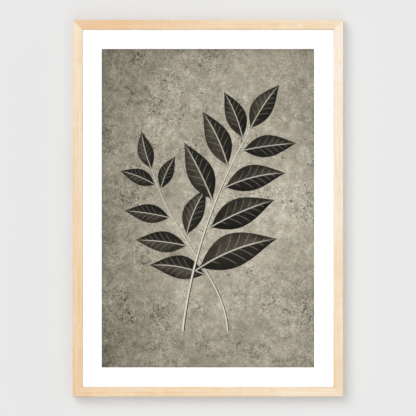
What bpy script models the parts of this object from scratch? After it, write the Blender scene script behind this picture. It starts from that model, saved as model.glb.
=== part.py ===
"""A framed print: four mitred wooden rails round glazing, a window mat, a print and its boards.

Metres, +Z up. The front faces -Y and the wall is the plane y = 0. The origin is the point that the
frame hangs by: the middle valley of the sawtooth hanger's teeth, on the wall plane.
"""
import math

import bmesh
import bpy

IMAGE_WIDTH = 0.4064
IMAGE_HEIGHT = 0.6096
MAT_BORDER = 0.037
FACE = 0.0185
DEPTH = 0.028
LIP = 0.003
RABBET = 0.007
STANDOFF = 0.003
GAP = 0.0003
MITRE_GAP = 0.00012
SHEET_CLEARANCE = 0.0015

GLAZING_THICKNESS = 0.0015
MAT_THICKNESS = 0.0015
PRINT_THICKNESS = 0.0004
MOUNT_BOARD_THICKNESS = 0.005
BACKING_THICKNESS = 0.003
PRINT_MARGIN = 0.012

OUTER_EASE = 0.0008
SIGHT_EASE = 0.001
BACK_EASE = 0.0006
EASE_STEPS = 6

POINT_WIDTH = 0.0064
POINT_THICKNESS = 0.0005
POINT_SUNK = 0.005
POINT_FREE = 0.013
POINTS_ON_SHORT_SIDE = (-0.13, 0.13)
POINTS_ON_LONG_SIDE = (-0.24, 0.0, 0.24)

NAIL_THICKNESS = 0.0005
NAIL_HEIGHT = 0.008
NAIL_SINK = 0.0002
NAIL_RISE = 0.0022
NAIL_SPREAD = 0.0026
NAIL_CURL = NAIL_SPREAD / 4
CURL_TIP = (1.4, 1.3)
CURL_MIDDLE = (1.0, 0.3)
NAIL_FROM_CORNER = {"outer": 0.0062, "inner": 0.0122}

HANGER_LENGTH = 0.044
HANGER_HEIGHT = 0.0085
HANGER_THICKNESS = 0.0008
HANGER_RAISE = 0.0013
HANGER_CORNER = 0.0025
RAISED_HALF = 0.0125
RAMP = 0.0025
TOOTH_PITCH = 0.0025
TOOTH_DEPTH = 0.0016
VALLEYS_EACH_SIDE = 4

SCREW_FROM_MIDDLE = 0.0185
SHANK_RADIUS = 0.001
SHANK_LENGTH = 0.009
SCREW_TIP = 0.002
TIP_RADIUS = 0.0002
HEAD_RADIUS = 0.0024
HEAD_HEIGHT = 0.0011
RECESS_REACH = 0.0013
RECESS_HALF_WIDTH = 0.0003
RECESS_DEPTH = 0.0006

BUMPER_RADIUS = 0.0045
BUMPER_ROUNDING = 0.0012
BUMPER_FROM_END = 0.03
ROUND_SIDES = 32
SMOOTH_BELOW = math.radians(35)

OUTER_WIDTH = IMAGE_WIDTH + 2 * (MAT_BORDER + FACE)
OUTER_HEIGHT = IMAGE_HEIGHT + 2 * (MAT_BORDER + FACE)
LAND = FACE - RABBET
SHEET_WIDTH = OUTER_WIDTH - 2 * (LAND + SHEET_CLEARANCE)
SHEET_HEIGHT = OUTER_HEIGHT - 2 * (LAND + SHEET_CLEARANCE)

BACK_Y = -STANDOFF
FRONT_Y = BACK_Y - DEPTH
LIP_Y = FRONT_Y + LIP

HANGER_DROP = LAND / 2
VALLEY_BELOW_MIDDLE = HANGER_HEIGHT / 2 - TOOTH_DEPTH
TOP_Z = HANGER_DROP + VALLEY_BELOW_MIDDLE
CENTRE_Z = TOP_Z - OUTER_HEIGHT / 2


def clear_scene():
    """Remove what the file holds, such as the default cube."""
    for thing in list(bpy.data.objects):
        bpy.data.objects.remove(thing, do_unlink=True)


def finish(name, colour, roughness, metallic=0.0):
    """Principled material for one kind of piece."""
    material = bpy.data.materials.new(name)
    material.use_nodes = True
    shader = material.node_tree.nodes["Principled BSDF"]
    shader.inputs["Base Color"].default_value = (*colour, 1)
    shader.inputs["Roughness"].default_value = roughness
    shader.inputs["Metallic"].default_value = metallic
    return material


def as_mesh(shape, name):
    """Turn a bmesh into a mesh whose faces point outwards."""
    bmesh.ops.recalc_face_normals(shape, faces=shape.faces[:])
    mesh = bpy.data.meshes.new(name)
    shape.to_mesh(mesh)
    shape.free()
    return mesh


def place(name, mesh, material, parent, location=(0, 0, 0), turn=0.0):
    """Add an object under an empty, turned about the empty's y axis."""
    thing = bpy.data.objects.new(name, mesh)
    thing.data.materials.clear()
    thing.data.materials.append(material)
    thing.parent = parent
    thing.location = location
    thing.rotation_euler = (0, turn, 0)
    bpy.context.scene.collection.objects.link(thing)
    return thing


def place_cutter(name, mesh, group, parent, location=(0, 0, 0), turn=0.0):
    """Add a cutter, which shows as wire and isn't part of the frame."""
    cutter = bpy.data.objects.new(name, mesh)
    cutter.parent = parent
    cutter.location = location
    cutter.rotation_euler = (0, turn, 0)
    cutter.hide_render = True
    cutter.display_type = "WIRE"
    group.objects.link(cutter)


def cutter_group(name):
    """Collection that holds the cutters of one Boolean."""
    group = bpy.data.collections.new(name)
    bpy.context.scene.collection.children.link(group)
    return group


def cut(thing, group):
    """Cut everything in a cutter group out of a piece."""
    modifier = thing.modifiers.new("cut", "BOOLEAN")
    modifier.operation = "DIFFERENCE"
    modifier.solver = "EXACT"
    modifier.operand_type = "COLLECTION"
    modifier.collection = group


def plate(name, outline, front, back):
    """Mesh of a flat plate: an outline of (x, z) points between two depths along y."""
    shape = bmesh.new()
    face = shape.faces.new([shape.verts.new((x, front, z)) for x, z in outline])
    grown = bmesh.ops.extrude_face_region(shape, geom=[face])["geom"]
    far = [item for item in grown if isinstance(item, bmesh.types.BMVert)]
    bmesh.ops.translate(shape, verts=far, vec=(0, back - front, 0))
    return as_mesh(shape, name)


def bridged(name, loops, closed):
    """Mesh of quads between loops of equal length, capped at both ends or closed on itself."""
    shape = bmesh.new()
    rings = [[shape.verts.new(point) for point in loop] for loop in loops]
    pairs = list(zip(rings, rings[1:]))
    if closed:
        pairs.append((rings[-1], rings[0]))
    else:
        shape.faces.new(rings[0])
        shape.faces.new(rings[-1])
    for ring, after in pairs:
        for i in range(len(ring)):
            shape.faces.new((ring[i - 1], ring[i], after[i], after[i - 1]))
    return as_mesh(shape, name)


def turned(name, profile):
    """Solid turned about the y axis from (radius, y) points, both ends flat or pointed."""
    loops = []
    for radius, y in profile:
        turn = [2 * math.pi * step / ROUND_SIDES for step in range(ROUND_SIDES)]
        loops.append([(radius * math.cos(a), y, radius * math.sin(a)) for a in turn])
    mesh = bridged(name, loops, closed=False)
    mesh.shade_smooth()
    mesh.set_sharp_from_angle(angle=SMOOTH_BELOW)
    return mesh


def rectangle(width, height):
    """Outline of a rectangle centred on the origin."""
    return [(sx * width / 2, sz * height / 2) for sx, sz in ((-1, -1), (1, -1), (1, 1), (-1, 1))]


def rail_profile():
    """Section of the moulding as (depth, inset from the outer edge), its corners eased by arcs."""
    corners = (
        (FRONT_Y, FACE, SIGHT_EASE),
        (FRONT_Y, 0.0, OUTER_EASE),
        (BACK_Y, 0.0, BACK_EASE),
        (BACK_Y, LAND, 0.0),
        (LIP_Y, LAND, 0.0),
        (LIP_Y, FACE, 0.0),
    )
    points = []
    for i, (depth, inset, radius) in enumerate(corners):
        if radius == 0.0:
            points.append((depth, inset))
            continue
        before = corners[i - 1]
        after = corners[(i + 1) % len(corners)]
        to_before = unit(before[0] - depth, before[1] - inset)
        to_after = unit(after[0] - depth, after[1] - inset)
        for step in range(EASE_STEPS + 1):
            turn = math.pi / 2 * step / EASE_STEPS
            along = 1 - math.sin(turn)
            across = 1 - math.cos(turn)
            points.append((
                depth + radius * (to_before[0] * along + to_after[0] * across),
                inset + radius * (to_before[1] * along + to_after[1] * across),
            ))
    return points


def unit(a, b):
    """Two numbers scaled to a length of 1."""
    size = math.hypot(a, b)
    return a / size, b / size


def rail_mesh(name, half_length, reach):
    """A rail along x with its outer edge at z = reach and both ends cut at 45 degrees."""
    shortening = MITRE_GAP / math.sqrt(2)
    loops = []
    for side in (-1, 1):
        loops.append([
            (side * (half_length - inset - shortening), depth, reach - inset)
            for depth, inset in rail_profile()
        ])
    return bridged(name, loops, closed=False)


def mat_mesh():
    """Window mat with a 45 degree bevel that opens towards the front."""
    front = MAT_FRONT
    back = front + MAT_THICKNESS
    window = (IMAGE_WIDTH, IMAGE_HEIGHT)
    wide = (IMAGE_WIDTH + 2 * MAT_THICKNESS, IMAGE_HEIGHT + 2 * MAT_THICKNESS)
    outside = (SHEET_WIDTH, SHEET_HEIGHT)
    loops = [
        [(x, depth, z) for x, z in rectangle(*size)]
        for size, depth in ((outside, front), (wide, front), (window, back), (outside, back))
    ]
    return bridged("window_mat", loops, closed=True)


def nail_outline(half_thickness):
    """Plan of a V-nail: a strip with its bend across the mitre and curled ends, as (x, z) points."""
    half_path = [
        (NAIL_SPREAD + out * NAIL_CURL, -NAIL_RISE / 2 + up * NAIL_CURL)
        for out, up in (CURL_TIP, CURL_MIDDLE)
    ]
    half_path.append((NAIL_SPREAD, -NAIL_RISE / 2))
    mirrored = [(-x, z) for x, z in reversed(half_path)]
    path = half_path + [(0.0, NAIL_RISE / 2)] + mirrored
    one_side = offset_path(path, half_thickness)
    other_side = offset_path(path, -half_thickness)
    return one_side + other_side[::-1]


def offset_path(path, distance):
    """Path shifted sideways by a distance, with mitred bends and ends made longer by as much."""
    shifted = []
    last = len(path) - 1
    for i, (x, z) in enumerate(path):
        before = path[max(i - 1, 0)]
        after = path[min(i + 1, last)]
        into = unit(x - before[0], z - before[1]) if i > 0 else None
        out = unit(after[0] - x, after[1] - z) if i < last else None
        first = into or out
        second = out or into
        normal = unit(-first[1] - second[1], first[0] + second[0])
        stretch = 1 / (normal[0] * -first[1] + normal[1] * first[0])
        overrun = abs(distance) * ((i == last) - (i == 0))
        shifted.append((
            x + normal[0] * distance * stretch + first[0] * overrun,
            z + normal[1] * distance * stretch + first[1] * overrun,
        ))
    return shifted


def point_outline():
    """Plan of a framer's point: a tongue with an arrow tip in the wood and a rounded free end."""
    half = POINT_WIDTH / 2
    outline = [(-half, POINT_SUNK - half), (0.0, POINT_SUNK), (half, POINT_SUNK - half)]
    for step in range(EASE_STEPS * 2 + 1):
        turn = math.pi * step / (EASE_STEPS * 2)
        outline.append((half * math.cos(turn), -POINT_FREE + half - half * math.sin(turn)))
    return outline


def hanger_mesh():
    """Steel strip with a raised middle and teeth along its lower edge, made of cross-sections."""
    top = HANGER_HEIGHT / 2
    square_half = HANGER_LENGTH / 2 - HANGER_CORNER
    teeth = {}
    for step in range(-2 * VALLEYS_EACH_SIDE - 1, 2 * VALLEYS_EACH_SIDE + 2):
        teeth[step * TOOTH_PITCH / 2] = TOOTH_DEPTH if step % 2 == 0 else 0.0
    arc = [math.pi / 2 * step / EASE_STEPS for step in range(EASE_STEPS + 1)]
    outer = [RAISED_HALF, RAISED_HALF + RAMP]
    outer += [square_half + HANGER_CORNER * math.sin(turn) for turn in arc]
    stations = sorted([-x for x in outer] + list(teeth) + outer)
    loops = []
    for x in stations:
        past = max(abs(x) - square_half, 0.0)
        rounding = HANGER_CORNER - math.sqrt(max(HANGER_CORNER**2 - past**2, 0.0))
        raised = min(max((RAISED_HALF + RAMP - abs(x)) / RAMP, 0.0), 1.0)
        front = HANGER_RAISE * raised
        back = front + HANGER_THICKNESS
        low = rounding - top + teeth.get(x, 0.0)
        high = top - rounding
        loops.append([(x, front, low), (x, back, low), (x, back, high), (x, front, high)])
    return bridged("sawtooth_hanger", loops, closed=False)


def screw_mesh():
    """Pan-head screw along y, its head's underside at y = 0 and its tip towards -y."""
    dome = []
    for step in range(EASE_STEPS + 1):
        turn = math.pi / 2 * step / EASE_STEPS
        reach = HEAD_RADIUS - HEAD_HEIGHT / 2 * (1 - math.cos(turn))
        dome.append((reach, HEAD_HEIGHT / 2 * (1 + math.sin(turn))))
    profile = [
        (TIP_RADIUS, -SHANK_LENGTH),
        (SHANK_RADIUS, -SHANK_LENGTH + SCREW_TIP),
        (SHANK_RADIUS, 0.0),
        (HEAD_RADIUS, 0.0),
    ]
    return turned("hanger_screw", profile + dome)


def recess_outline():
    """Plan of a cross recess: a plus sign."""
    far = RECESS_REACH
    near = RECESS_HALF_WIDTH
    quarter = [(near, far), (near, near), (far, near)]
    outline = []
    for turn in range(4):
        outline += quarter
        quarter = [(z, -x) for x, z in quarter]
    return outline


def bumper_mesh():
    """Round wall bumper along y, its glued face at y = 0 and its flat back towards the wall."""
    height = STANDOFF - GAP
    profile = [(BUMPER_RADIUS, 0.0)]
    for step in range(EASE_STEPS + 1):
        turn = math.pi / 2 * step / EASE_STEPS
        profile.append((
            BUMPER_RADIUS - BUMPER_ROUNDING * (1 - math.cos(turn)),
            height - BUMPER_ROUNDING * (1 - math.sin(turn)),
        ))
    return turned("wall_bumper", profile)


GLAZING_FRONT = LIP_Y + GAP
MAT_FRONT = GLAZING_FRONT + GLAZING_THICKNESS + GAP
PRINT_FRONT = MAT_FRONT + MAT_THICKNESS + GAP
MOUNT_BOARD_FRONT = PRINT_FRONT + PRINT_THICKNESS + GAP
BACKING_FRONT = MOUNT_BOARD_FRONT + MOUNT_BOARD_THICKNESS + GAP
POINT_FRONT = BACKING_FRONT + BACKING_THICKNESS + GAP

clear_scene()

wood = finish("pale wood", (0.83, 0.69, 0.52), 0.5)
clear = finish("clear acrylic", (0.92, 0.95, 0.95), 0.08)
white = finish("white mat", (0.92, 0.92, 0.9), 0.9)
ink = finish("printed paper", (0.40, 0.37, 0.31), 0.7)
foam = finish("foam board", (0.86, 0.86, 0.84), 0.8)
fibre = finish("fibreboard", (0.36, 0.24, 0.14), 0.8)
steel = finish("zinc-plated steel", (0.62, 0.63, 0.64), 0.35, 1.0)
rubber = finish("dark rubber", (0.04, 0.04, 0.04), 0.7)

centre = bpy.data.objects.new("frame_centre", None)
centre.location = (0, 0, CENTRE_Z)
bpy.context.scene.collection.objects.link(centre)

rail_cutters = cutter_group("cutters of the rails")
screw_cutters = cutter_group("holes of the hanger's screws")
recess_cutters = cutter_group("cross recesses")

slot_outline = [
    (-POINT_WIDTH / 2 - GAP, -RABBET),
    (POINT_WIDTH / 2 + GAP, -RABBET),
    (POINT_WIDTH / 2 + GAP, POINT_SUNK + GAP),
    (-POINT_WIDTH / 2 - GAP, POINT_SUNK + GAP),
]
point = plate("framer_point", point_outline(), 0.0, POINT_THICKNESS)
slot = plate("point slot", slot_outline, -GAP, POINT_THICKNESS + GAP)

short_side = (OUTER_WIDTH / 2, OUTER_HEIGHT / 2, POINTS_ON_SHORT_SIDE)
long_side = (OUTER_HEIGHT / 2, OUTER_WIDTH / 2, POINTS_ON_LONG_SIDE)
sides = {
    "top": (0, short_side),
    "right": (math.pi / 2, long_side),
    "bottom": (math.pi, short_side),
    "left": (3 * math.pi / 2, long_side),
}
rails = {}
for side, (turn, (half_length, reach, stations)) in sides.items():
    guide = bpy.data.objects.new(f"side_{side}", None)
    guide.parent = centre
    guide.rotation_euler = (0, turn, 0)
    bpy.context.scene.collection.objects.link(guide)
    name = f"rail_{side}"
    rails[side] = place(name, rail_mesh(name, half_length, reach), wood, guide)
    for i, station in enumerate(stations, start=1):
        seat = (station, POINT_FRONT, reach - LAND)
        place(f"framer_point_{side}_{i}", point, steel, guide, seat)
        place_cutter(f"slot_{side}_{i}", slot, rail_cutters, guide, seat)

nail = plate("v_nail", nail_outline(NAIL_THICKNESS / 2), BACK_Y - NAIL_HEIGHT, BACK_Y - NAIL_SINK)
pocket = plate("nail pocket", nail_outline(NAIL_THICKNESS / 2 + GAP), BACK_Y - NAIL_HEIGHT - GAP, 0.0)
corners = {"top_right": 45, "bottom_right": 135, "bottom_left": 225, "top_left": 315}
for corner, degrees in corners.items():
    turn = math.radians(degrees)
    corner_x = math.copysign(OUTER_WIDTH / 2, math.sin(turn))
    corner_z = math.copysign(OUTER_HEIGHT / 2, math.cos(turn))
    for where, distance in NAIL_FROM_CORNER.items():
        seat = (corner_x - distance * math.sin(turn), 0, corner_z - distance * math.cos(turn))
        place(f"v_nail_{corner}_{where}", nail, steel, centre, seat, turn)
        place_cutter(f"pocket_{corner}_{where}", pocket, rail_cutters, centre, seat, turn)

sheet = rectangle(SHEET_WIDTH, SHEET_HEIGHT)
paper = rectangle(IMAGE_WIDTH + 2 * PRINT_MARGIN, IMAGE_HEIGHT + 2 * PRINT_MARGIN)
layers = (
    ("glazing", sheet, GLAZING_FRONT, GLAZING_THICKNESS, clear),
    ("print", paper, PRINT_FRONT, PRINT_THICKNESS, ink),
    ("mount_board", sheet, MOUNT_BOARD_FRONT, MOUNT_BOARD_THICKNESS, foam),
    ("backing_board", sheet, BACKING_FRONT, BACKING_THICKNESS, fibre),
)
for name, outline, front, thickness, material in layers:
    place(name, plate(name, outline, front, front + thickness), material, centre)
place("window_mat", mat_mesh(), white, centre)

hanger_seat = (0, BACK_Y + GAP, OUTER_HEIGHT / 2 - HANGER_DROP)
hanger = place("sawtooth_hanger", hanger_mesh(), steel, centre, hanger_seat)
head_seat_y = BACK_Y + 2 * GAP + HANGER_THICKNESS
hole_radius = SHANK_RADIUS + GAP
hole = turned("screw hole", [(hole_radius, -SHANK_LENGTH - GAP), (hole_radius, GAP)])
recess = plate("cross recess", recess_outline(), HEAD_HEIGHT - RECESS_DEPTH, HEAD_HEIGHT + GAP)
screw = screw_mesh()
bumper = bumper_mesh()
for where, sign in (("left", -1), ("right", 1)):
    seat = (sign * SCREW_FROM_MIDDLE, head_seat_y, hanger_seat[2])
    head = place(f"hanger_screw_{where}", screw, steel, centre, seat)
    place_cutter(f"hole_{where}", hole, screw_cutters, centre, seat)
    place_cutter(f"recess_{where}", recess, recess_cutters, centre, seat)
    cut(head, recess_cutters)
    pad_x = sign * (OUTER_WIDTH / 2 - BUMPER_FROM_END)
    pad_seat = (pad_x, BACK_Y + GAP, LAND / 2 - OUTER_HEIGHT / 2)
    place(f"wall_bumper_{where}", bumper, rubber, centre, pad_seat)
cut(hanger, screw_cutters)
cut(rails["top"], screw_cutters)
for rail in rails.values():
    cut(rail, rail_cutters)
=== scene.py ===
"""The looks of a framed print: pale wood moulding, clear glazing, a white window mat and a print.

Metres, in the frame's own axes: the front faces -Y, the wall is the plane y = 0, and +Z is up.
"""
import math
import random

import bmesh
import bpy
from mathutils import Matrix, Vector, geometry


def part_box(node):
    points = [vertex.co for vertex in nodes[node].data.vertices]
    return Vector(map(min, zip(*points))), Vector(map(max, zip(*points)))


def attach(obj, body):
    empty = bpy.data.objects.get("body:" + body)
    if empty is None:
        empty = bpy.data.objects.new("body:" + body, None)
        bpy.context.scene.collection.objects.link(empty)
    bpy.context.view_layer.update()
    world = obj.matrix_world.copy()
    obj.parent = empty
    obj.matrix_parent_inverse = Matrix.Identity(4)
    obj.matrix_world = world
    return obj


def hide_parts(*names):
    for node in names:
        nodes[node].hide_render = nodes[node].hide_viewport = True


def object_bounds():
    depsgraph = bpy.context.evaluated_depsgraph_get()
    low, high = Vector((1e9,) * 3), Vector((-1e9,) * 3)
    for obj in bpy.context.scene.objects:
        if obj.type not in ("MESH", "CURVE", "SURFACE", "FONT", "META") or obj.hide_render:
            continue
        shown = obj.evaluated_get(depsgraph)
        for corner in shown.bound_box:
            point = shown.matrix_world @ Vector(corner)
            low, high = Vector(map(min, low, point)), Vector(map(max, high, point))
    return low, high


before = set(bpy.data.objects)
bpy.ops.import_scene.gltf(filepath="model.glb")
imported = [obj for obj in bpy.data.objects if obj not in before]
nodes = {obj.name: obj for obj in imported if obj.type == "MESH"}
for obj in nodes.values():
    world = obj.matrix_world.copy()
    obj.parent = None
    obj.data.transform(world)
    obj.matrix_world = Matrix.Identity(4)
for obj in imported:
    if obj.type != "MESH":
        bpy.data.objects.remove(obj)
cad_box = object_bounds()


# The moulding: four rails of pale close-grained hardwood, planed to one L-shaped section, mitred
# and glued at the corners. Every edge is eased, the sight edge most, and the whole has a thin satin
# lacquer. Each rail comes from its own length of wood, so its tone drifts.
STUDIO_LIGHT = 1.4
WOOD_TONES = (
    (0.0, (239, 200, 156)), (0.25, (243, 211, 173)), (0.5, (246, 222, 188)), (0.75, (250, 232, 207)),
    (1.0, (254, 242, 226)),
)
PEACH_STREAK = (243, 200, 162)
RAIL_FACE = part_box("rail_top")[1].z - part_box("rail_top")[0].z
# Width of the painted shade just inside the sight edge and of the painted light on its inner wall.
PAINTED_SIGHT_BAND = 0.0026
# Width of the painted highlight along each rail's eased outer edge.
PAINTED_HIGHLIGHT_BAND = 0.0014
DRIFT_CURVE = 1.4
WELD_DISTANCE = 1e-6
SMOOTH_BELOW = math.radians(25)


class Wire:
    """A socket in a node tree. Arithmetic on it adds Math nodes, and node adds any other node."""

    def __init__(self, tree, socket=None):
        self.tree = tree
        self.socket = socket

    def node(self, kind, settings, sockets):
        """Add a node: its settings first, then a value or a wire for each named socket."""
        added = self.tree.nodes.new(kind)
        for name, setting in settings.items():
            if name == "stops":
                fill_ramp(added.color_ramp, setting)
            else:
                setattr(added, name, setting)
        for key, value in sockets.items():
            if isinstance(value, Wire):
                self.tree.links.new(value.socket, added.inputs[key])
            else:
                added.inputs[key].default_value = value
        return Wire(self.tree, added.outputs[0] if added.outputs else None)

    def out(self, key):
        """Another output of the node that this wire leaves."""
        return Wire(self.tree, self.socket.node.outputs[key])

    def maths(self, operation, *values):
        return self.node("ShaderNodeMath", {"operation": operation}, dict(enumerate(values)))

    def __add__(self, other):
        return self.maths("ADD", self, other)

    def __radd__(self, other):
        return self.maths("ADD", other, self)

    def __sub__(self, other):
        return self.maths("SUBTRACT", self, other)

    def __rsub__(self, other):
        return self.maths("SUBTRACT", other, self)

    def __mul__(self, other):
        return self.maths("MULTIPLY", self, other)

    def __rmul__(self, other):
        return self.maths("MULTIPLY", other, self)

    def __truediv__(self, other):
        return self.maths("DIVIDE", self, other)

    def __pow__(self, other):
        return self.maths("POWER", self, other)

    def __abs__(self):
        return self.maths("ABSOLUTE", self)

    def rise(self, low, high):
        """0 up to low and 1 past high, with a smooth rise between; falls if high is the lower."""
        limits = {"Value": self, "From Min": low, "From Max": high}
        return self.node("ShaderNodeMapRange", {"interpolation_type": "SMOOTHSTEP"}, limits)


def fill_ramp(ramp, stops):
    """Give a colour ramp these stops, each a place from 0 to 1 and a colour."""
    ramp.elements.remove(ramp.elements[1])
    for i, (place, colour) in enumerate(stops):
        stop = ramp.elements[0] if i == 0 else ramp.elements.new(place)
        stop.position = place
        stop.color = colour


def lit(colour):
    """Surface colour that comes out as this 8-bit colour in the studio's light."""
    linear = [((value / 255 + 0.055) / 1.055) ** 2.4 / STUDIO_LIGHT for value in colour]
    return (*linear, 1.0)


def toned(tone, tones):
    """Colour that a tone picks between stops, each a place from 0 to 1 and an 8-bit colour."""
    stops = [(at, lit(colour)) for at, colour in tones]
    return tone.node("ShaderNodeValToRGB", {"stops": stops}, {"Fac": tone})


def new_finish(name):
    """A material with no nodes but its Object coordinates, which come back as a wire."""
    material = bpy.data.materials.new(name)
    material.use_nodes = True
    material.node_tree.nodes.clear()
    start = Wire(material.node_tree)
    return material, start.node("ShaderNodeTexCoord", {}, {}).out("Object")


def end_finish(surface):
    """Join a finished shader to the material's output."""
    surface.node("ShaderNodeOutputMaterial", {}, {"Surface": surface})


def noise(place, scale, detail=2.0, roughness=0.5, distortion=0.0):
    """Soft random pattern about 0.5, with features one part in scale of a metre across."""
    sockets = {"Vector": place, "Scale": scale, "Detail": detail, "Roughness": roughness}
    return place.node("ShaderNodeTexNoise", {}, {**sockets, "Distortion": distortion})


def mixed(share, colour_a, colour_b):
    """Colour that goes from a to b with share."""
    sockets = {0: share, 6: colour_a, 7: colour_b}
    return share.node("ShaderNodeMix", {"data_type": "RGBA"}, sockets).out(2)


def stretched(place, x, y, z):
    """Coordinates with each axis multiplied, so that a pattern on them stretches."""
    return place.node("ShaderNodeVectorMath", {"operation": "MULTIPLY"}, {0: place, 1: (x, y, z)})


def grained(place, along, across_scale, along_scale):
    """Coordinates for a pattern with one scale across the grain and another along it."""
    scales = [across_scale] * 3
    scales[along] = along_scale
    return stretched(place, *scales)


def bumped(height, distance):
    """Normal of a surface that height, from 0 to 1, raises by up to distance."""
    return height.node("ShaderNodeBump", {}, {"Height": height, "Distance": distance, "Strength": 1.0})


def rail_finish(side, along, across, outward, low_tone, high_tone):
    """Wood with its grain along one axis, drifting in tone from the rail's low end to its high end, with a
    painted highlight at the outer edge and painted shade and light at the sight edge.
    """
    low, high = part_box(f"rail_{side}")
    material, place = new_finish(f"lacquered_wood_{side}")
    split = place.node("ShaderNodeSeparateXYZ", {}, {0: place})
    lengthwise = (split.out(along) - low[along]) / (high[along] - low[along])
    outer_edge = high[across] if outward > 0 else low[across]
    inset = (outer_edge - split.out(across)) * outward
    grain = noise(grained(place, along, 520.0, 9.0), 1.0, 4.0, 0.6, 0.3)
    bands = noise(grained(place, along, 150.0, 2.5), 1.0, 2.0)
    ripple = noise(grained(place, along, 26.0, 60.0), 1.0, 2.0, 0.5, 0.4)
    bars = noise(grained(place, along, 50.0, 200.0), 1.0, 2.0, 0.5, 0.3)
    pores = noise(grained(place, along, 1500.0, 90.0), 1.0, 1.0).rise(0.64, 0.74)
    hairlines = noise(grained(place, along, 2400.0, 22.0), 1.0, 2.0, 0.6)
    cloud = noise(place, 9.0, 2.0)
    drift = low_tone + lengthwise**DRIFT_CURVE * (high_tone - low_tone)
    figure = (grain - 0.5) * 1.3 + (bands - 0.5) * 1.0 + (ripple - 0.5) * 0.5 + (cloud - 0.5) * 0.5
    figure = figure + (bars - 0.5) * ripple.rise(0.45, 0.7) * 0.7 + (hairlines - 0.5) * 0.5
    # Painted shade just inside the sight edge, and painted light on the sight edge's inner wall that lifts
    # it against its shade.
    painted_sight_shade = inset.rise(RAIL_FACE - PAINTED_SIGHT_BAND, RAIL_FACE - PAINTED_SIGHT_BAND * 0.6)
    painted_sight_wall_light = inset.rise(RAIL_FACE - PAINTED_SIGHT_BAND * 0.4, RAIL_FACE - PAINTED_SIGHT_BAND * 0.1)
    # Painted highlight: the outer edge's band is lifted in tone to stand in for light on the eased edge.
    painted_outer_highlight = inset.rise(PAINTED_HIGHLIGHT_BAND, PAINTED_HIGHLIGHT_BAND * 0.4)
    tone = drift + figure + painted_outer_highlight * 0.12 - painted_sight_shade * 0.14 + painted_sight_wall_light * 0.3 - pores * 0.2
    wood = toned(tone, WOOD_TONES)
    streaks = bands.rise(0.5, 0.72) * ripple.rise(0.4, 0.7) * 0.45
    shader = {
        "Base Color": mixed(streaks, wood, lit(PEACH_STREAK)),
        "Roughness": 0.4 + grain * 0.16 + pores * 0.1,
        "Specular IOR Level": 0.4,
        "Normal": bumped(grain * 0.5 + hairlines * 0.3 - pores * 0.5, 0.00008),
    }
    end_finish(place.node("ShaderNodeBsdfPrincipled", {}, shader))
    return material


def add_piece(name, mesh, slot, *stands_for):
    """Add a finished mesh as a piece that rides on the frame, and hide the CAD nodes it takes the place
    of.
    """
    piece = bpy.data.objects.new(name, mesh)
    bpy.context.scene.collection.objects.link(piece)
    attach(piece, "root")
    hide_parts(*stands_for)
    return piece


def welded(node, name, finish, slot):
    """A CAD node's solid as one welded mesh, smooth over its curves and flat on its flats."""
    loose = nodes[node].data
    shape = bmesh.new()
    corners = [shape.verts.new(vertex.co) for vertex in loose.vertices]
    for face in loose.polygons:
        shape.faces.new([corners[i] for i in face.vertices])
    bmesh.ops.remove_doubles(shape, verts=shape.verts[:], dist=WELD_DISTANCE)
    mesh = bpy.data.meshes.new(name)
    shape.to_mesh(mesh)
    shape.free()
    mesh.materials.append(finish)
    mesh.shade_smooth()
    mesh.set_sharp_from_angle(angle=SMOOTH_BELOW)
    piece = add_piece(name, mesh, slot, node)
    normals = piece.modifiers.new("flat faces stay flat", "WEIGHTED_NORMAL")
    normals.keep_sharp = True


for side, along, across, outward, low_tone, high_tone in (
    ("top", 0, 2, 1, 0.09, 0.55),
    ("right", 2, 0, 1, 0.48, 1.03),
    ("bottom", 0, 2, -1, 0.27, 0.72),
    ("left", 2, 0, -1, 0.13, 0.74),
):
    finish = rail_finish(side, along, across, outward, low_tone, high_tone)
    welded(f"rail_{side}", f"moulding_{side}", finish, "wood")


# The glazing: a 1.5 mm sheet of clear acrylic with a coat against reflections, cut to the rabbet and
# held by the stack behind it. From the front it all but vanishes; at a slant it mirrors the room.
HEAD_ON_SHINE = 0.006
SLANT_SHINE = 0.55
SLANT_POWER = 4.0
ACRYLIC_TINT = (0.992, 0.996, 0.994, 1.0)


def refinish(node, finish):
    """Give a CAD node, whose own mesh stays, its finished material."""
    nodes[node].data.materials.clear()
    nodes[node].data.materials.append(finish)


clear_acrylic, place = new_finish("clear_acrylic")
slant = place.node("ShaderNodeLayerWeight", {}, {"Blend": 0.5}).out("Facing")
shine = HEAD_ON_SHINE + slant**SLANT_POWER * SLANT_SHINE
through = place.node("ShaderNodeBsdfTransparent", {}, {"Color": ACRYLIC_TINT})
mirror = place.node("ShaderNodeBsdfGlossy", {}, {"Color": (1.0, 1.0, 1.0, 1.0), "Roughness": 0.04})
end_finish(place.node("ShaderNodeMixShader", {}, {0: shine, 1: through, 2: mirror}))
refinish("glazing", clear_acrylic)


# The window mat: 1.5 mm of white cotton board with a window cut through it at 45 degrees, so that
# the board's core shows as a fine bevel round the image. Its face has a soft tooth.
MAT_WHITE = (0.94, 0.94, 0.93, 1.0)
MAT_SHADE = (0.915, 0.915, 0.9, 1.0)
cotton_board, place = new_finish("white_cotton_board")
tooth = noise(place, 1400.0, 3.0, 0.6)
felt = noise(place, 70.0, 3.0, 0.6)
board = {
    "Base Color": mixed(felt * 0.5 + tooth * 0.5, MAT_WHITE, MAT_SHADE),
    "Roughness": 0.85 + tooth * 0.1,
    "Specular IOR Level": 0.2,
    "Normal": bumped(tooth, 0.00006),
}
end_finish(place.node("ShaderNodeBsdfPrincipled", {}, board))
refinish("window_mat", cotton_board)


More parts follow.
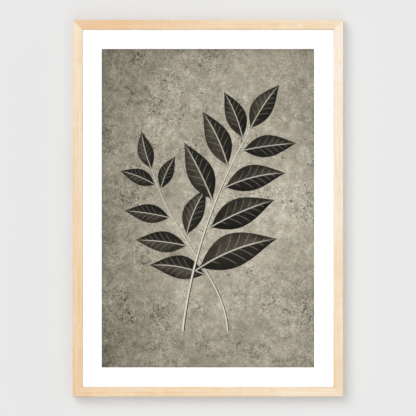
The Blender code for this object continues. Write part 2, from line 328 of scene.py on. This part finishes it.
# The print: one sheet of matt paper behind the mat, printed past the window's edges. The design is
# two leaning sprigs of narrow leaves, charcoal with pale ribs, on a ground like weathered plaster.
# Ink lies flush, so each leaf and stem is an outline cut into the sheet's own front face.
MAT_BORDER = 0.037
LEAF_PLUMPNESS = 0.19
LEAF_BELLY = 0.82
LEAF_POINT = 1.12
STALK_SHARE = 0.09
STALK_HALF_WIDTH = 0.011
LEAF_SPREAD = 50
SPREAD_JITTER = 5
TIP_LOSS = 0.45
LENGTH_RANGE = (0.95, 1.05)
BEND_RANGE = (0.02, 0.07)
TONE_RANGE = (0.2, 1.0)
END_LEAF_SHARE = 0.62
END_LEAF_TURN = -0.06
END_LEAF_BEND = 0.04
END_LEAF_TONE = 0.6
LIT_STEM_SHARES = (0.3, 0.12)
LIT_STEM_SHIFT = 0.45
LEAF_STEPS = 18
STEM_STEPS = 40
VEIN_PAIRS = 9.0
VEIN_SLANT = 1.25
VEIN_CURVE = 2.2
CUT_NEAR = 1e-8
DESIGN_SEED = 11
paper_low, paper_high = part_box("print")
window_half_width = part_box("rail_top")[1].x - RAIL_FACE - MAT_BORDER
window_half_height = (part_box("rail_left")[1].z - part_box("rail_left")[0].z) / 2 - RAIL_FACE - MAT_BORDER
image_middle = Vector((paper_low.x + paper_high.x, paper_low.z + paper_high.z)) / 2
ink_shapes = []


def blade_half_width(share):
    """Half a leaf's width at a share of its length from the stem, as a share of that length."""
    blade = max((share - STALK_SHARE) / (1 - STALK_SHARE), 0.0)
    return LEAF_PLUMPNESS * math.sin(math.pi * min(blade, 1.0) ** LEAF_BELLY) ** LEAF_POINT


def draw_leaf(base, heading, length, bend, tone):
    """Add a leaf: its outline, and the base and axes that its veins are drawn from."""
    ahead = Vector((math.cos(heading), math.sin(heading)))
    aside = Vector((-ahead.y, ahead.x))
    outline = []
    for side in (-1, 1):
        for step in range(LEAF_STEPS):
            turn = math.pi * step / LEAF_STEPS
            share = (1 + side * math.cos(turn)) / 2
            half = max(blade_half_width(share), STALK_HALF_WIDTH * (1 - share))
            rib = bend * 4 * share * (1 - share)
            outline.append(base + length * (ahead * share + aside * (rib + side * half)))
    ink_shapes.append({
        "finish": "leaf", "outline": outline, "base": base, "ahead": ahead, "aside": aside,
        "length": length, "facts": (tone, bend),
    })


def draw_stem(route, half_widths, shift, finish):
    """Add a tapering stem along a route, shifted to one side of it."""
    left, right = [], []
    for i, point in enumerate(route):
        way = (route[min(i + 1, len(route) - 1)] - route[max(i - 1, 0)]).normalized()
        aside = Vector((-way.y, way.x))
        share = i / (len(route) - 1)
        half = half_widths[0] + (half_widths[1] - half_widths[0]) * share
        left.append(point + aside * (half + shift * half))
        right.append(point - aside * (half - shift * half))
    ink_shapes.append({"finish": finish, "outline": right + left[::-1]})


def draw_sprig(handles, left_leaves, right_leaves, longest, stem_width):
    """Draw a curved stem with a row of leaves on each side, shorter to its tip, and one at its end."""
    ends = [image_middle + Vector(handle) for handle in handles]
    route = [Vector(point[:2]) for point in geometry.interpolate_bezier(*ends, STEM_STEPS)]
    for side, (first, last, count) in ((1, left_leaves), (-1, right_leaves)):
        for i in range(count):
            share = first + (last - first) * i / (count - 1)
            at = int(share * (STEM_STEPS - 2)) + 1
            way = route[at + 1] - route[at - 1]
            spread = LEAF_SPREAD + draw.uniform(-SPREAD_JITTER, SPREAD_JITTER)
            heading = math.atan2(way.y, way.x) + side * math.radians(spread)
            length = longest * (1 - TIP_LOSS * share**1.5) * draw.uniform(*LENGTH_RANGE)
            bend = -side * draw.uniform(*BEND_RANGE)
            draw_leaf(route[at], heading, length, bend, draw.uniform(*TONE_RANGE))
    way = route[-1] - route[-3]
    heading = math.atan2(way.y, way.x) + END_LEAF_TURN
    draw_leaf(route[-1], heading, longest * END_LEAF_SHARE, END_LEAF_BEND, END_LEAF_TONE)
    draw_stem(route, (stem_width / 2, stem_width / 6), 0.0, "stem_shade")
    lit_half_widths = [stem_width * share for share in LIT_STEM_SHARES]
    draw_stem(route, lit_half_widths, LIT_STEM_SHIFT, "stem")


draw = random.Random(DESIGN_SEED)
leaning_left = ((0.038, -0.235), (0.032, -0.13), (-0.066, -0.06), (-0.106, 0.07))
leaning_right = ((-0.048, -0.235), (-0.032, -0.10), (0.012, 0.03), (0.078, 0.145))
draw_sprig(leaning_left, (0.36, 0.94, 4), (0.62, 0.92, 2), 0.13, 0.005)
draw_sprig(leaning_right, (0.63, 0.96, 3), (0.27, 0.9, 4), 0.176, 0.0066)


def ink_finish(name):
    """Start of an ink's material, and a wire with its coordinates from the image's middle."""
    material, place = new_finish(name)
    to_middle = (-image_middle.x, 0.0, -image_middle.y)
    return material, place.node("ShaderNodeVectorMath", {"operation": "ADD"}, {0: place, 1: to_middle})


def end_ink(place, colour, roughness):
    """Give an ink the paper's fine tooth and a matt shader."""
    tooth = noise(place, 1600.0, 2.0, 0.6)
    ink = {
        "Base Color": colour,
        "Roughness": roughness + tooth * 0.1,
        "Specular IOR Level": 0.2,
        "Normal": bumped(tooth, 0.00003),
    }
    end_finish(place.node("ShaderNodeBsdfPrincipled", {}, ink))


PLASTER_TONES = (
    (0.0, (70, 65, 56)), (0.3, (118, 112, 98)), (0.62, (172, 164, 147)), (1.0, (228, 221, 205)),
)
GLOW_MIDDLE = (0.06, -0.015)
GLOW_REACH = (0.24, 0.36)
LEFT_BAND = 0.034
TOP_BAND = 0.022
# Width of the darkening along the window's edge: the print's own dark rim and a painted shadow of the mat.
RIM_AND_SHADOW_BAND = 0.004
ground_ink, place = ink_finish("ink_ground")
split = place.node("ShaderNodeSeparateXYZ", {}, {0: place})
across = split.out("X")
up = split.out("Z")
patches = noise(place, 9.0, 3.0, 0.55, 0.4)
blotches = noise(place, 46.0, 4.0, 0.6, 0.6)
stucco = noise(place, 150.0, 4.0, 0.65, 0.8)
grit = noise(place, 480.0, 2.0, 0.7)
rough = noise(place, 17.0, 3.0, 0.6, 0.5).rise(0.4, 0.6)
pale_spots = noise(place, 31.0, 3.0, 0.6, 0.8).rise(0.56, 0.68) * stucco.rise(0.46, 0.6)
smudges = noise(place, 24.0, 3.0, 0.6, 1.0).rise(0.37, 0.27)
cracks = abs(noise(place, 26.0, 3.0, 0.6, 1.6) - 0.5).rise(0.012, 0.0) * rough
clusters = noise(place, 17.0, 2.0, 0.6, 0.5).rise(0.57, 0.65)
flecks = noise(place, 230.0, 2.0, 0.6, 0.8).rise(0.56, 0.64) * clusters
pit_cells = place.node("ShaderNodeTexVoronoi", {}, {"Vector": place, "Scale": 48.0})
pit_chance = pit_cells.node("ShaderNodeSeparateXYZ", {}, {0: pit_cells.out("Color")})
pit_chance = pit_chance.rise(0.8, 0.86)
pits = pit_cells.rise(0.16, 0.05) * pit_chance
aside = (across - GLOW_MIDDLE[0]) / GLOW_REACH[0]
above = (up - GLOW_MIDDLE[1]) / GLOW_REACH[1]
vignette = (aside * aside + above * above) ** 0.8
left_band = across.rise(LEFT_BAND - window_half_width, -window_half_width)
top_band = up.rise(window_half_height - TOP_BAND, window_half_height)
# Darker along the window's edge: partly the print's own dark rim, partly a painted shadow of the mat.
rim_and_shadow_across = abs(across).rise(window_half_width - RIM_AND_SHADOW_BAND, window_half_width)
rim_and_shadow_up = abs(up).rise(window_half_height - RIM_AND_SHADOW_BAND, window_half_height)
grain = (stucco - 0.5) * 0.8 + (grit - 0.5) * 1.2
tone = 0.72 + (patches - 0.5) * 0.45 + (blotches - 0.5) * 0.55 + grain * (0.5 + rough * 0.4)
tone = tone + pale_spots * 0.07 - smudges * 0.14 - cracks * 0.08 - flecks * 0.5 - pits * 0.3
tone = tone - vignette * 0.22 - left_band * 0.06 - top_band * 0.07
tone = tone - rim_and_shadow_across.maths("MAXIMUM", rim_and_shadow_across, rim_and_shadow_up) * 0.12
end_ink(place, toned(tone, PLASTER_TONES), 0.7)

CHARCOAL_TONES = ((0.0, (10, 9, 7)), (0.5, (42, 38, 31)), (1.0, (102, 95, 82)))
VEIN_COLOUR = (168, 163, 148)
RIB_COLOUR = (214, 208, 192)
VEIN_STRENGTH = 0.42
RIB_STRENGTH = 0.85
RIB_CORE = 0.004
leaf_ink, place = ink_finish("ink_leaf")
on_leaf = place.node("ShaderNodeUVMap", {"uv_map": "leaf"}, {})
on_leaf = on_leaf.node("ShaderNodeSeparateXYZ", {}, {0: on_leaf})
facts = place.node("ShaderNodeUVMap", {"uv_map": "leaf_facts"}, {})
facts = facts.node("ShaderNodeSeparateXYZ", {}, {0: facts})
share = on_leaf.out("X")
from_rib = on_leaf.out("Y") - facts.out("Y") * 4 * share * (1 - share)
far = abs(from_rib)
blade = ((share - STALK_SHARE) / (1 - STALK_SHARE)).rise(0.0, 1.0)
half_width = LEAF_PLUMPNESS * (blade * math.pi).maths("SINE", blade * math.pi) + 0.004
reach = far / half_width
upper = from_rib.rise(-0.002, 0.002)
vein_turns = (share - far * VEIN_SLANT + far * far * VEIN_CURVE) * VEIN_PAIRS + upper * 0.5
vein = abs(vein_turns.maths("FRACT", vein_turns) - 0.5).rise(0.4, 0.5) * reach.rise(1.0, 0.6)
rib = far.rise(STALK_HALF_WIDTH, RIB_CORE) * share.rise(1.02, 0.7)
quilt = noise(place, 300.0, 3.0, 0.6)
bloom = noise(place, 34.0, 3.0, 0.6)
tone = facts.out("X") * 0.3 + upper * 0.28 + (quilt - 0.5) * 0.5 + (bloom - 0.5) * 0.6 + 0.1
tone = tone + reach.rise(0.9, 0.1) * 0.14
veined = mixed(vein * VEIN_STRENGTH, toned(tone, CHARCOAL_TONES), lit(VEIN_COLOUR))
end_ink(place, mixed(rib * RIB_STRENGTH, veined, lit(RIB_COLOUR)), 0.62)

STEM_TONES = ((0.0, (186, 180, 164)), (0.5, (226, 220, 205)), (1.0, (246, 242, 230)))
SHADE_TONES = ((0.0, (34, 32, 28)), (0.5, (58, 55, 48)), (1.0, (92, 88, 78)))


def stem_finish(name, tones):
    """Ink of a stem or of its shaded side, mottled like fibre."""
    material, place = ink_finish(name)
    end_ink(place, toned(noise(place, 260.0, 3.0, 0.6), tones), 0.65)
    return material


stem_ink = stem_finish("ink_stem", STEM_TONES)
stem_shade_ink = stem_finish("ink_stem_shade", SHADE_TONES)

PAPER_WHITE = (0.84, 0.83, 0.8, 1.0)
PAPER_SHADE = (0.76, 0.75, 0.71, 1.0)
rag_paper, place = new_finish("rag_paper")
fibres = noise(place, 900.0, 3.0, 0.6)
paper = {"Base Color": mixed(fibres, PAPER_WHITE, PAPER_SHADE), "Roughness": 0.9}
end_finish(place.node("ShaderNodeBsdfPrincipled", {}, paper))

PRINT_FINISHES = {
    "ground": ground_ink, "leaf": leaf_ink, "stem": stem_ink, "stem_shade": stem_shade_ink,
    "paper": rag_paper,
}


def printed_sheet(low, high, shapes):
    """A closed sheet of paper whose front face is cut along every outline of the design."""
    corners = ((low.x, low.z), (high.x, low.z), (high.x, high.z), (low.x, high.z))
    flat = [Vector(corner) for corner in corners]
    outlines = [list(range(len(flat)))]
    for shape in shapes:
        outlines.append(list(range(len(flat), len(flat) + len(shape["outline"]))))
        flat += shape["outline"]
    inside_outlines = 1
    cut = geometry.delaunay_2d_cdt(flat, [], outlines, inside_outlines, CUT_NEAR, True)
    points, _, faces, _, _, owners = cut
    sheet = bmesh.new()
    on_leaf = sheet.loops.layers.uv.new("leaf")
    leaf_facts = sheet.loops.layers.uv.new("leaf_facts")
    kinds = list(PRINT_FINISHES)
    front = [sheet.verts.new((point.x, low.y, point.y)) for point in points]
    for face, owner in zip(faces, owners):
        made = sheet.faces.new([front[i] for i in face])
        topmost = max(owner) - 1
        shape = shapes[topmost] if topmost >= 0 else {"finish": "ground"}
        made.material_index = kinds.index(shape["finish"])
        for loop in made.loops if shape["finish"] == "leaf" else ():
            offset = Vector((loop.vert.co.x, loop.vert.co.z)) - shape["base"]
            along = offset.dot(shape["ahead"]) / shape["length"]
            loop[on_leaf].uv = (along, offset.dot(shape["aside"]) / shape["length"])
            loop[leaf_facts].uv = shape["facts"]
    rim = [edge for edge in sheet.edges if edge.is_boundary]
    walls = bmesh.ops.extrude_edge_only(sheet, edges=rim)["geom"]
    back = [item for item in walls if isinstance(item, bmesh.types.BMVert)]
    bmesh.ops.translate(sheet, verts=back, vec=(0, high.y - low.y, 0))
    open_rim = [edge for edge in sheet.edges if edge.is_boundary]
    walls += bmesh.ops.contextual_create(sheet, geom=open_rim)["faces"]
    for item in walls:
        if isinstance(item, bmesh.types.BMFace):
            item.material_index = kinds.index("paper")
    bmesh.ops.recalc_face_normals(sheet, faces=sheet.faces[:])
    mesh = bpy.data.meshes.new("printed_sheet")
    sheet.to_mesh(mesh)
    sheet.free()
    for finish in PRINT_FINISHES.values():
        mesh.materials.append(finish)
    return mesh


add_piece("printed_sheet", printed_sheet(paper_low, paper_high, ink_shapes), "print", "print")


# The mount board: 5 mm of polystyrene foam between two white papers, which keeps the print flat.
# Only its edge can be glimpsed, in the slit between the backing and the rails.
FOAM_SEAM = (0.72, 0.72, 0.7, 1.0)
FOAM_BEAD = (0.88, 0.88, 0.86, 1.0)
BEADS_PER_METRE = 800.0
foam_board, place = new_finish("foam_board")
packing = {"Vector": place, "Scale": BEADS_PER_METRE}
beads = place.node("ShaderNodeTexVoronoi", {"feature": "DISTANCE_TO_EDGE"}, packing)
cells = beads.rise(0.0, 0.12)
board = {
    "Base Color": mixed(cells, FOAM_SEAM, FOAM_BEAD),
    "Roughness": 0.8,
    "Normal": bumped(cells, 0.00005),
}
end_finish(place.node("ShaderNodeBsdfPrincipled", {}, board))
refinish("mount_board", foam_board)


# The backing: 3 mm fibreboard, sanded smooth, the colour of brown card with fine pale and dark
# fibres pressed into it. It closes the back of the frame.
FIBRE_TONES = (
    (0.0, (122, 92, 64)), (0.45, (170, 136, 100)), (0.7, (186, 152, 114)), (1.0, (222, 194, 156)),
)
fibreboard, place = new_finish("fibreboard")
cloud = noise(place, 11.0, 4.0, 0.6)
dust = noise(place, 900.0, 3.0, 0.7)
pale_fibres = abs(noise(place, 210.0, 2.0, 0.6, 3.0) - 0.5).rise(0.035, 0.0)
dark_fibres = abs(noise(place, 160.0, 2.0, 0.6, 3.5) - 0.52).rise(0.03, 0.0)
gathered = noise(place, 90.0, 2.0).rise(0.45, 0.62)
tone = 0.5 + (cloud - 0.5) * 0.5 + (dust - 0.5) * 0.6 + pale_fibres * gathered * 0.2 - dark_fibres * 0.12
board = {
    "Base Color": toned(tone, FIBRE_TONES),
    "Roughness": 0.66 + dust * 0.2,
    "Specular IOR Level": 0.3,
    "Normal": bumped(dust + pale_fibres * 0.4, 0.00006),
}
end_finish(place.node("ShaderNodeBsdfPrincipled", {}, board))
refinish("backing_board", fibreboard)


# The framer's points: tongues stamped from half-millimetre galvanised steel. A driver shoots each
# one's arrow tip into the rabbet's wall, and its round free end holds the backing board down.
point_low, point_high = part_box("framer_point_top_1")
POINT_WIDTH = point_high.x - point_low.x
POINT_LENGTH = point_high.z - point_low.z
POINT_THICKNESS = point_high.y - point_low.y
ROUND_END_CORNERS = 10
ARROW_TIP_CORNERS = 1
ROUNDING_SHARE = 0.499
END_SHARE = 0.49
GALVANISED_DARK = (0.36, 0.37, 0.38, 1.0)
GALVANISED_LIGHT = (0.62, 0.63, 0.64, 1.0)


def steel_finish(name, dark, light, spangle, roughness):
    """Zinc-plated steel: crystal spangles in the zinc, fine scratches and dull patches."""
    material, place = new_finish(name)
    crystals = place.node("ShaderNodeTexVoronoi", {}, {"Vector": place, "Scale": spangle})
    crystal_tone = crystals.node("ShaderNodeSeparateXYZ", {}, {0: crystals.out("Color")})
    scratches = noise(stretched(place, 120.0, 120.0, 3000.0), 1.0, 2.0)
    dull = noise(place, 260.0, 3.0, 0.6)
    tone = crystal_tone * 0.5 + scratches * 0.2 + dull * 0.3
    metal = {
        "Base Color": mixed(tone, dark, light),
        "Metallic": 1.0,
        "Roughness": roughness + dull * 0.2,
        "Normal": bumped(scratches, 0.00001),
    }
    end_finish(place.node("ShaderNodeBsdfPrincipled", {}, metal))
    return material


def start_tree(name, sizes):
    """A Geometry Nodes tree with named sizes as inputs, and a wire at each input."""
    tree = bpy.data.node_groups.new(name, "GeometryNodeTree")
    tree.interface.new_socket("Geometry", in_out="INPUT", socket_type="NodeSocketGeometry")
    tree.interface.new_socket("Geometry", in_out="OUTPUT", socket_type="NodeSocketGeometry")
    for label in sizes:
        tree.interface.new_socket(label, in_out="INPUT", socket_type="NodeSocketFloat")
    given = Wire(tree).node("NodeGroupInput", {}, {})
    return tree, given


def thickened(surface, along, by):
    """A flat surface given a thickness, closed on both faces."""
    sockets = {"Mesh": surface, "Offset": along, "Offset Scale": by, "Individual": False}
    raised = surface.node("GeometryNodeExtrudeMesh", {"mode": "FACES"}, sockets)
    under = surface.node("GeometryNodeFlipFaces", {}, {"Mesh": surface})
    joined = surface.node("GeometryNodeJoinGeometry", {}, {})
    for part in (under, raised):
        surface.tree.links.new(part.socket, joined.socket.node.inputs[0])
    weld = {"Geometry": joined, "Distance": WELD_DISTANCE * 10}
    return surface.node("GeometryNodeMergeByDistance", {}, weld)


def end_tree(shape, seats, finish):
    """Set the shape on every seat, turned by the seat's own angle, as one real mesh."""
    turn = shape.node("GeometryNodeInputNamedAttribute", {"data_type": "FLOAT"}, {"Name": "turn"})
    euler = shape.node("ShaderNodeCombineXYZ", {}, {"Y": turn})
    placed = {"Points": seats, "Instance": shape, "Rotation": euler}
    copies = shape.node("GeometryNodeInstanceOnPoints", {}, placed)
    real = shape.node("GeometryNodeRealizeInstances", {}, {"Geometry": copies})
    dressed = shape.node("GeometryNodeSetMaterial", {}, {"Geometry": real, "Material": finish})
    shape.node("NodeGroupOutput", {}, {0: dressed})


def seat_fittings(name, tree, sizes, seats, slot, stands_for):
    """Run a tree on a mesh of seats and keep its result as one plain piece."""
    points = bpy.data.meshes.new(f"{name}_seats")
    points.from_pydata([place for place, _ in seats], [], [])
    turns = points.attributes.new("turn", "FLOAT", "POINT")
    turns.data.foreach_set("value", [turn for _, turn in seats])
    holder = bpy.data.objects.new(f"{name}_seats", points)
    bpy.context.scene.collection.objects.link(holder)
    run = holder.modifiers.new(name, "NODES")
    run.node_group = tree
    for item in tree.interface.items_tree:
        if item.in_out == "INPUT" and item.name in sizes:
            run[item.identifier] = sizes[item.name]
    depsgraph = bpy.context.evaluated_depsgraph_get()
    mesh = bpy.data.meshes.new_from_object(holder.evaluated_get(depsgraph))
    mesh.name = name
    bpy.data.objects.remove(holder)
    add_piece(name, mesh, slot, *stands_for)


point_steel = steel_finish("galvanised_steel", GALVANISED_DARK, GALVANISED_LIGHT, 420.0, 0.3)
point_sizes = {"Width": POINT_WIDTH, "Length": POINT_LENGTH, "Thickness": POINT_THICKNESS}
point_tree, given = start_tree("framers_point", point_sizes)
quad = {"Width": given.out("Width"), "Height": given.out("Length")}
plan = given.node("GeometryNodeCurvePrimitiveQuadrilateral", {}, quad)
rounding = given.out("Width") * ROUNDING_SHARE
for corners, from_end in ((ROUND_END_CORNERS, -1.0), (ARROW_TIP_CORNERS, 1.0)):
    here = given.node("GeometryNodeInputPosition", {}, {})
    at_end = here.node("ShaderNodeSeparateXYZ", {}, {0: here}).out("Y") * from_end
    chosen = at_end.maths("GREATER_THAN", at_end, given.out("Length") * END_SHARE)
    corner = {"Curve": plan, "Count": corners, "Radius": rounding * chosen}
    plan = given.node("GeometryNodeFilletCurve", {"mode": "POLY"}, corner)
tongue = given.node("GeometryNodeFillCurve", {"mode": "NGONS"}, {"Curve": plan})
tongue = thickened(tongue, (0.0, 0.0, 1.0), given.out("Thickness"))
lift = given.node("ShaderNodeCombineXYZ", {}, {"Y": given.out("Thickness") * 0.5})
upright = {"Geometry": tongue, "Rotation": (math.pi / 2, 0.0, 0.0), "Translation": lift}
tongue = given.node("GeometryNodeTransform", {}, upright)
end_tree(tongue, given.out("Geometry"), point_steel)

point_nodes = sorted(name for name in nodes if name.startswith("framer_point"))
side_turns = {"top": 0.0, "right": math.pi / 2, "bottom": math.pi, "left": 3 * math.pi / 2}
point_seats = []
for name in point_nodes:
    low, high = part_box(name)
    point_seats.append(((low + high) / 2, side_turns[name.split("_")[2]]))
seat_fittings("framers_points", point_tree, point_sizes, point_seats, "framer_point", point_nodes)


# The V-nails: strips of spring steel bent across the mitre, two to a corner. A press drives them
# in from the back, and their curled ends pull the two rails together.
NAIL_SPREAD = 0.0026
NAIL_RISE = 0.0022
NAIL_THICKNESS = 0.0005
NAIL_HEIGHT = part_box("v_nail_top_left_inner")[1].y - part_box("v_nail_top_left_inner")[0].y
NAIL_CURL = NAIL_SPREAD / 4
CURL_REACH = 1.4
CURL_LIFT = 0.66
NAIL_STEPS = 49
SPRING_DARK = (0.3, 0.31, 0.33, 1.0)
SPRING_LIGHT = (0.52, 0.53, 0.55, 1.0)
nail_steel = steel_finish("spring_steel", SPRING_DARK, SPRING_LIGHT, 900.0, 0.28)
nail_sizes = {
    "Spread": NAIL_SPREAD, "Rise": NAIL_RISE, "Curl": NAIL_CURL, "Thickness": NAIL_THICKNESS,
    "Height": NAIL_HEIGHT,
}
nail_tree, given = start_tree("v_nail", nail_sizes)
half_span = given.out("Spread") + given.out("Curl") * CURL_REACH
ends = {
    "Start": given.node("ShaderNodeCombineXYZ", {}, {"X": 0 - half_span}),
    "End": given.node("ShaderNodeCombineXYZ", {}, {"X": half_span}),
}
line = given.node("GeometryNodeCurvePrimitiveLine", {}, ends)
line = given.node("GeometryNodeResampleCurve", {}, {"Curve": line, "Count": NAIL_STEPS})
here = given.node("GeometryNodeInputPosition", {}, {})
out_from_bend = abs(here.node("ShaderNodeSeparateXYZ", {}, {0: here}))
leg = out_from_bend.maths("MINIMUM", out_from_bend, given.out("Spread")) / given.out("Spread")
past = (out_from_bend - given.out("Spread")).maths("MAXIMUM", out_from_bend - given.out("Spread"), 0.0)
curl = (past / given.out("Curl")) ** 2 * given.out("Curl") * CURL_LIFT
height = given.out("Rise") * (0.5 - leg) + curl
bent = {"Geometry": line, "Offset": given.node("ShaderNodeCombineXYZ", {}, {"Z": height})}
line = given.node("GeometryNodeSetPosition", {}, bent)
edge = given.node("GeometryNodeCurveToMesh", {}, {"Curve": line})
deep = given.node("ShaderNodeCombineXYZ", {}, {"Y": given.out("Height")})
band = {"Mesh": edge, "Offset": deep, "Offset Scale": 1.0}
strip = given.node("GeometryNodeExtrudeMesh", {"mode": "EDGES"}, band)
strip = thickened(strip, (0.0, 0.0, 1.0), given.out("Thickness"))
end_tree(strip, given.out("Geometry"), nail_steel)

nail_nodes = sorted(name for name in nodes if name.startswith("v_nail"))
corner_turns = {"top_right": 45, "bottom_right": 135, "bottom_left": 225, "top_left": 315}
nail_seats = []
for name in nail_nodes:
    low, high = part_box(name)
    turn = math.radians(corner_turns["_".join(name.split("_")[2:4])])
    middle = (low + high) / 2
    nail_seats.append(((middle.x, low.y, middle.z), turn))
seat_fittings("v_nails", nail_tree, nail_sizes, nail_seats, "v_nail", nail_nodes)


# The sawtooth hanger: a strip of plated steel with a raised, toothed middle that a wall nail slips
# under. Two pan-head screws hold it to the top rail's back.
ZINC_DARK = (0.5, 0.51, 0.52, 1.0)
ZINC_LIGHT = (0.74, 0.75, 0.76, 1.0)
hanger_steel = steel_finish("zinc_plated_steel", ZINC_DARK, ZINC_LIGHT, 500.0, 0.24)
welded("sawtooth_hanger", "toothed_strip", hanger_steel, "hanger")
for where in ("left", "right"):
    welded(f"hanger_screw_{where}", f"pan_head_screw_{where}", hanger_steel, "hanger")


# The wall bumpers: soft black rubber discs on the bottom corners, which keep the frame's lower
# edge off the wall. Their faces are slightly dusty.
RUBBER_BLACK = (0.018, 0.018, 0.018, 1.0)
RUBBER_DUST = (0.07, 0.068, 0.064, 1.0)
soft_rubber, place = new_finish("soft_rubber")
dust = noise(place, 900.0, 3.0, 0.6)
rubber = {
    "Base Color": mixed(dust.rise(0.45, 0.8), RUBBER_BLACK, RUBBER_DUST),
    "Roughness": 0.6 + dust * 0.25,
    "Normal": bumped(dust, 0.00004),
}
end_finish(place.node("ShaderNodeBsdfPrincipled", {}, rubber))
for where in ("left", "right"):
    welded(f"wall_bumper_{where}", f"bumper_disc_{where}", soft_rubber, "wall_bumper")


# The studio: a pale wall that the frame hangs on, and a pale floor well below it. Both show from
# the front only and stop no light, so that the frame's back can be looked at too.
WALL_COLOUR = (234, 234, 234)
WALL_SIZE = 60.0
WALL_GAP = 0.0005
FLOOR_GLOW = 0.45
FLOOR_BELOW = 1.6


def one_sided(name, colour, glow):
    """Matt paint that shows on the front of a plane and not on its back."""
    material, place = new_finish(name)
    roller = noise(place, 160.0, 3.0, 0.6)
    paint = {"Base Color": colour, "Roughness": 0.9, "Specular IOR Level": 0.0}
    paint |= {"Emission Color": colour, "Emission Strength": glow}
    front = place.node("ShaderNodeBsdfPrincipled", {}, {**paint, "Normal": bumped(roller, 0.00002)})
    back = place.node("ShaderNodeBsdfTransparent", {}, {})
    behind = place.node("ShaderNodeNewGeometry", {}, {}).out("Backfacing")
    end_finish(place.node("ShaderNodeMixShader", {}, {0: behind, 1: front, 2: back}))
    return material


def stage_plane(name, centre, up, finish):
    """A square plane that is part of the studio and not of the object, level along x."""
    across = Vector((1, 0, 0)) * WALL_SIZE / 2
    up = Vector(up) * WALL_SIZE / 2
    centre = Vector(centre)
    corners = [centre - across - up, centre + across - up, centre + across + up, centre - across + up]
    mesh = bpy.data.meshes.new(name)
    mesh.from_pydata(corners, [], [(0, 1, 2, 3)])
    mesh.materials.append(finish)
    plane = bpy.data.objects.new(name, mesh)
    bpy.context.scene.collection.objects.link(plane)
    plane.visible_shadow = False
    plane.visible_diffuse = False
    plane.visible_glossy = False


middle_z = (cad_box[0].z + cad_box[1].z) / 2
floor_z = cad_box[0].z - FLOOR_BELOW
wall_paint = one_sided("wall_paint", lit(WALL_COLOUR), 0.0)
floor_paint = one_sided("floor_paint", lit(WALL_COLOUR), FLOOR_GLOW)
stage_plane("wall", (0, WALL_GAP, middle_z), (0, 0, 1), wall_paint)
stage_plane("floor", (0, 0, floor_z), (0, 1, 0), floor_paint)


def add_sun(name, towards, width_degrees, share, glossy):
    """Soft light from far off: how it travels, how wide it looks, and its share of the level."""
    light = bpy.data.lights.new(name, "SUN")
    light.energy = math.pi * STUDIO_LIGHT * share
    light.angle = math.radians(width_degrees)
    lamp = bpy.data.objects.new(name, light)
    lamp.rotation_mode = "QUATERNION"
    lamp.rotation_quaternion = Vector(towards).to_track_quat("-Z", "Y")
    lamp.visible_glossy = glossy
    bpy.context.scene.collection.objects.link(lamp)


SKY_SHARE = 0.13
SKY_SEEN = 0.82
add_sun("front_lamp", (0.0, 1.0, 0.0), 10, 0.22, False)
add_sun("front_screen", (-0.03, 1.0, 0.14), 84, 0.28, False)
add_sun("key", (0.43, 1.0, -0.43), 48, 0.39, False)
add_sun("side_lamp", (-0.9, 0.0, -0.36), 40, 0.2, False)
add_sun("low_lamp", (0.0, 0.25, 1.0), 40, 0.08, False)
add_sun("back_lamp", (-0.2, -1.0, -0.1), 60, 0.36, False)
add_sun("back_screen", (0.0, -1.0, 0.0), 150, 0.3, True)

world = bpy.data.worlds.new("studio")
world.use_nodes = True
world.node_tree.nodes.clear()
sky = Wire(world.node_tree)
seen = sky.node("ShaderNodeLightPath", {}, {}).out("Is Camera Ray")
strength = seen * (SKY_SEEN - SKY_SHARE * STUDIO_LIGHT) + SKY_SHARE * STUDIO_LIGHT
glow = sky.node("ShaderNodeBackground", {}, {"Color": (1.0, 1.0, 1.0, 1.0), "Strength": strength})
sky.node("ShaderNodeOutputWorld", {}, {"Surface": glow})
bpy.context.scene.world = world
bpy.context.scene.view_settings.view_transform = "Standard"

PICTURE_WIDTH_PX = 416
FRAME_WIDTH_PX = 270.4
FRAME_MIDDLE_PX = 208.25
LENS = 400.0
SENSOR = 36.0
camera_data = bpy.data.cameras.new("camera")
camera_data.lens = LENS
camera_data.sensor_width = SENSOR
camera = bpy.data.objects.new("camera", camera_data)
seen_width = (cad_box[1].x - cad_box[0].x) * PICTURE_WIDTH_PX / FRAME_WIDTH_PX
raised = (FRAME_MIDDLE_PX - PICTURE_WIDTH_PX / 2) * seen_width / PICTURE_WIDTH_PX
camera.location = (0, cad_box[0].y - seen_width * LENS / SENSOR, middle_z + raised)
camera.rotation_euler = (math.pi / 2, 0, 0)
bpy.context.scene.collection.objects.link(camera)
bpy.context.scene.camera = camera
